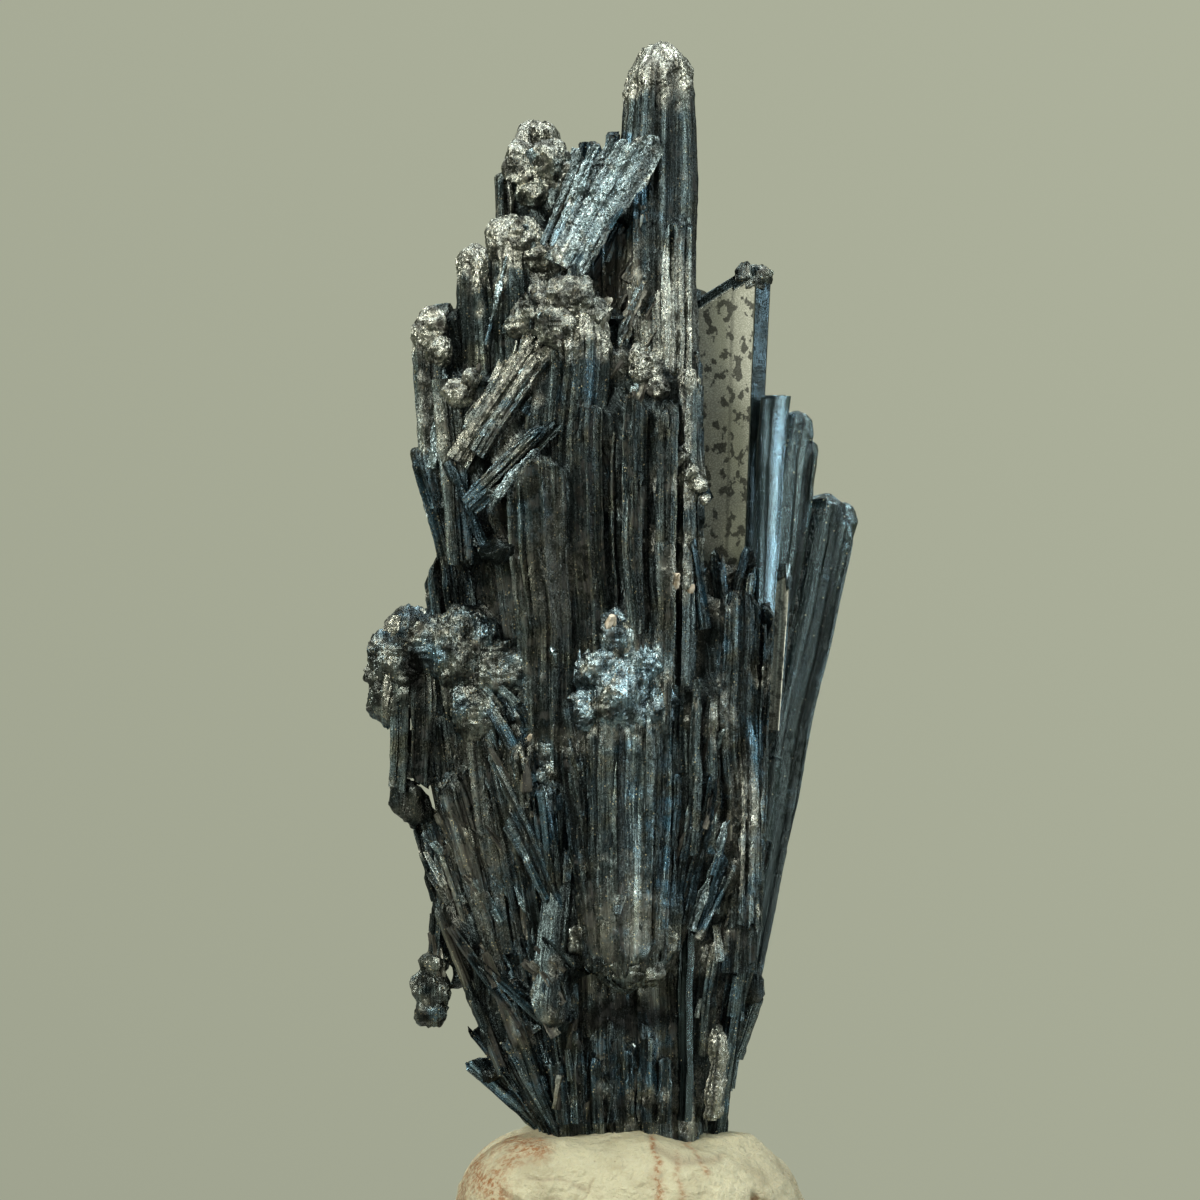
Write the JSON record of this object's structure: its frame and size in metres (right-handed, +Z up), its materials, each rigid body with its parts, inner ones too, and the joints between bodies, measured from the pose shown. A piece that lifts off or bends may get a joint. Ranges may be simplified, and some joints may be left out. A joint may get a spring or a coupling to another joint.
{
  "type": "mineral specimen",
  "caption": "Upright spray of striated dark metallic prism crystals grown together and crusted, standing in a lump of cream mounting putty with a flat underside",
  "frame": {"origin": "centre of the putty's flat underside", "axes": "+Z up along the crystals, +X to the right of the pictured side, +Y away from the pictured side"},
  "size_m": [0.0492, 0.0315, 0.1313],
  "materials": {
    "stibnite": "dark steel-grey metallic mineral, striated along each crystal, with pale sparkling crust and blue sheen",
    "putty": "cream mounting putty, matt, smeared with red-brown streaks"
  },
  "bodies": {
    "root": {"stibnite_spray": "stibnite", "putty_base": "putty"}
  },
  "joints": []
}
